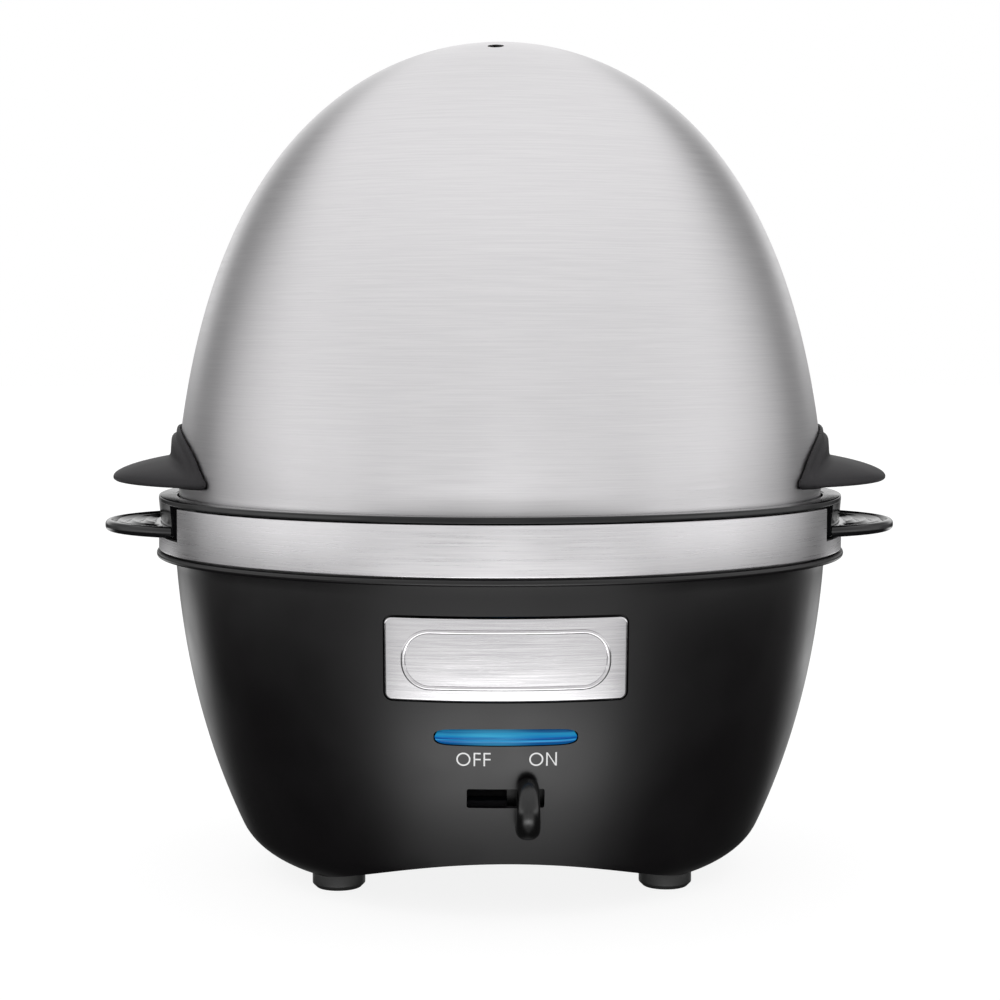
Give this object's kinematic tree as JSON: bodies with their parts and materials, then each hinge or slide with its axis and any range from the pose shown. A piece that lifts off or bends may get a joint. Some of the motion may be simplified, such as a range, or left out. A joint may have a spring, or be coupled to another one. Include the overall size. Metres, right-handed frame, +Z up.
{
  "type": "egg cooker",
  "caption": "Round electric egg cooker: black base with a steel band, slide switch and blue lamp, stacked egg trays with side handles, and an egg-shaped steel dome lid.",
  "frame": {"origin": "on the cooker's vertical axis, at the level of the surface that it stands on", "axes": "+Z up, -Y towards the front with the switch, +X to the right seen from the front"},
  "size_m": [0.2206, 0.1912, 0.2289],
  "materials": {
    "shell_black": "satin moulded plastic",
    "band_steel": "brushed round the ring",
    "badge_steel": "finely brushed",
    "lens_blue": "clear tinted, lit from behind",
    "rubber_black": "matte",
    "lever_black": "polished",
    "tray_black": "polished",
    "lid_steel": "brushed round the dome",
    "handle_grey": "satin",
    "dish_coating": "non-stick coating",
    "plated_steel": "zinc plated",
    "silicone": "matte",
    "ceramic_white": "unglazed",
    "circuit_green": "solder mask",
    "wire_cover": "heat-proof sleeve"
  },
  "bodies": {
    "root": {"base_shell": "shell_black", "rim_band": "band_steel", "badge_plate": "badge_steel", "indicator_lens": "lens_blue", "base_cover": "shell_black", "cord_gland": "rubber_black", "foot_1": "rubber_black", "foot_2": "rubber_black", "foot_3": "rubber_black", "foot_4": "rubber_black", "cover_screw_1": "plated_steel", "cover_screw_2": "plated_steel", "cover_screw_3": "plated_steel", "cover_screw_4": "plated_steel", "heating_plate": "dish_coating", "plate_gasket": "silicone", "clamp_ring": "plated_steel", "clamp_nut_1": "plated_steel", "clamp_nut_2": "plated_steel", "clamp_nut_3": "plated_steel", "heating_element": "plated_steel", "element_pin_1": "plated_steel", "element_pin_2": "plated_steel", "thermostat": "ceramic_white", "thermostat_clip": "plated_steel", "thermal_fuse": "ceramic_white", "buzzer": "tray_black", "terminal_block": "ceramic_white", "led_board": "circuit_green", "switch_body": "handle_grey", "wire_switch_feed": "wire_cover", "wire_thermostat": "wire_cover", "wire_fuse": "wire_cover", "wire_element": "wire_cover", "wire_return": "wire_cover", "wire_lamps": "wire_cover", "wire_buzzer": "wire_cover"},
    "switch_lever": {"switch_lever": "lever_black"},
    "egg_tray": {"egg_tray": "tray_black"},
    "upper_tray": {"upper_tray": "tray_black"},
    "lid": {"lid_dome": "lid_steel", "lid_handle_right": "handle_grey", "lid_handle_left": "handle_grey", "lid_screw_right_1": "plated_steel", "lid_screw_right_2": "plated_steel", "lid_screw_left_1": "plated_steel", "lid_screw_left_2": "plated_steel"}
  },
  "joints": [
    {"name": "switch_slide", "type": "slide", "parent": "root", "child": "switch_lever", "axis": [1, 0, 0], "range_m": [-0.011, 0]},
    {"name": "tray_lift", "type": "slide", "parent": "root", "child": "egg_tray", "axis": [0, 0, 1], "range_m": [0, 0.05]},
    {"name": "upper_tray_lift", "type": "slide", "parent": "egg_tray", "child": "upper_tray", "axis": [0, 0, 1], "range_m": [0, 0.09]},
    {"name": "lid_lift", "type": "slide", "parent": "upper_tray", "child": "lid", "axis": [0, 0, 1], "range_m": [0, 0.14]}
  ]
}
